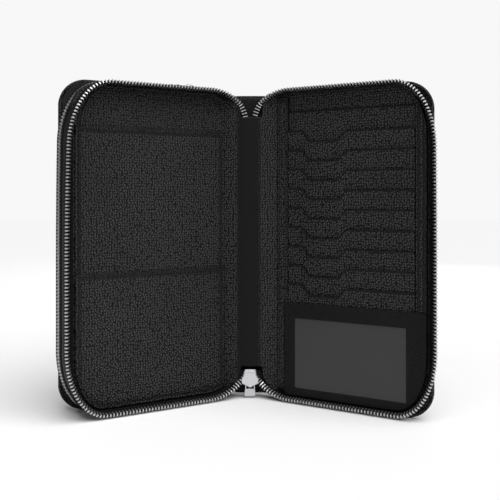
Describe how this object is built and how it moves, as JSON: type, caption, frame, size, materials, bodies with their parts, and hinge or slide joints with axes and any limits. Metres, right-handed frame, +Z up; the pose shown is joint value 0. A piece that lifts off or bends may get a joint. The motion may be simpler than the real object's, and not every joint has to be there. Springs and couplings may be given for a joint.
{
  "type": "travel document organizer",
  "caption": "Zip-round leather travel organizer standing open on its edge, with slip pockets, stepped card slots, an ID window and a second zipped compartment.",
  "frame": {"origin": "on the ground under the centre of the box round the organizer as it stands open", "axes": "+Z up along the spine, the pockets face -Y, +X to the right of someone reading it"},
  "size_m": [0.2606, 0.0964, 0.2363],
  "materials": {
    "pebbled_leather": "black pebble-grain leather, satin",
    "lining_leather": "black smooth lining leather, matt",
    "stiffener_board": "grey-brown bonded board",
    "zip_tape": "black woven polyester tape",
    "zip_teeth": "polished nickel teeth",
    "slider_metal": "satin nickel",
    "window_film": "clear film over dark lining, soft gloss"
  },
  "bodies": {
    "middle_leaf": {"left_lining_panel": "pebbled_leather", "middle_board": "stiffener_board", "middle_back_lining": "lining_leather", "full_height_pocket": "pebbled_leather", "half_height_pocket": "pebbled_leather", "main_zip_tape_left": "zip_tape", "main_zip_teeth_left": "zip_teeth", "outer_zip_tape_front": "zip_tape", "outer_zip_teeth_front": "zip_teeth"},
    "spine": {"spine_cover": "pebbled_leather", "spine_board": "stiffener_board", "gutter_lining": "lining_leather", "main_zip_top_end_left": "zip_teeth", "main_zip_top_end_right": "zip_teeth", "main_zip_foot_end_left": "zip_teeth", "main_zip_foot_end_right": "zip_teeth"},
    "right_half": {"right_cover": "pebbled_leather", "right_board": "stiffener_board", "right_lining_panel": "pebbled_leather", "right_slip_pocket": "pebbled_leather", "slot_hem_spine": "pebbled_leather", "slot_hem_zip": "pebbled_leather", "card_slot_1": "pebbled_leather", "card_slot_2": "pebbled_leather", "card_slot_3": "pebbled_leather", "card_slot_4": "pebbled_leather", "card_slot_5": "pebbled_leather", "card_slot_6": "pebbled_leather", "card_slot_7": "pebbled_leather", "card_slot_8": "pebbled_leather", "card_slot_9": "pebbled_leather", "id_window_film": "window_film", "id_window_pocket": "lining_leather", "main_zip_tape_right": "zip_tape", "main_zip_teeth_right": "zip_teeth"},
    "outer_spine": {"outer_spine_cover": "pebbled_leather", "outer_spine_lining": "lining_leather"},
    "outer_cover": {"outer_cover_lining": "lining_leather", "outer_cover_board": "stiffener_board", "outer_cover": "pebbled_leather", "outer_zip_tape_rear": "zip_tape", "outer_zip_teeth_rear": "zip_teeth"},
    "main_slider": {"main_slider": "slider_metal"},
    "main_pull": {"main_pull": "slider_metal"},
    "outer_slider": {"outer_slider": "slider_metal"},
    "outer_pull": {"outer_pull": "slider_metal"}
  },
  "joints": [
    {"name": "spine_fold", "type": "hinge", "parent": "middle_leaf", "child": "spine", "pos_m": [-0.00693, 0.02914, 0], "axis": [0, 0, 1], "range_deg": [-60, 30]},
    {"name": "right_fold", "type": "hinge", "parent": "spine", "child": "right_half", "pos_m": [0.01707, 0.02914, 0], "axis": [0, 0, 1], "range_deg": [-60, 30]},
    {"name": "outer_spine_fold", "type": "hinge", "parent": "middle_leaf", "child": "outer_spine", "pos_m": [-0.00693, 0.02914, 0], "axis": [0, 0, 1], "range_deg": [-45, 0]},
    {"name": "outer_cover_fold", "type": "hinge", "parent": "outer_spine", "child": "outer_cover", "pos_m": [-0.01793, 0.04819, 0], "axis": [0, 0, 1], "range_deg": [-105, 0]},
    {"name": "main_slider_slide", "type": "slide", "parent": "spine", "child": "main_slider", "axis": [0, 0, 1], "range_m": [0, 0.003]},
    {"name": "main_pull_swing", "type": "hinge", "parent": "main_slider", "child": "main_pull", "pos_m": [0.00507, 0.02214, 0.0164], "axis": [1, 0, 0], "range_deg": [0, 15]},
    {"name": "outer_slider_slide", "type": "slide", "parent": "middle_leaf", "child": "outer_slider", "axis": [-0.866, -0.5, 0], "range_m": [0, 0.062]},
    {"name": "outer_pull_swing", "type": "hinge", "parent": "outer_slider", "child": "outer_pull", "pos_m": [-0.04088, 0.02213, 0.2347], "axis": [-0.5, 0.866, 0], "range_deg": [0, 165]}
  ],
  "couplings": [
    {"joint": "spine_fold", "follows": "right_fold", "ratio": 1},
    {"joint": "outer_spine_fold", "follows": "outer_cover_fold", "ratio": 0.4285}
  ]
}
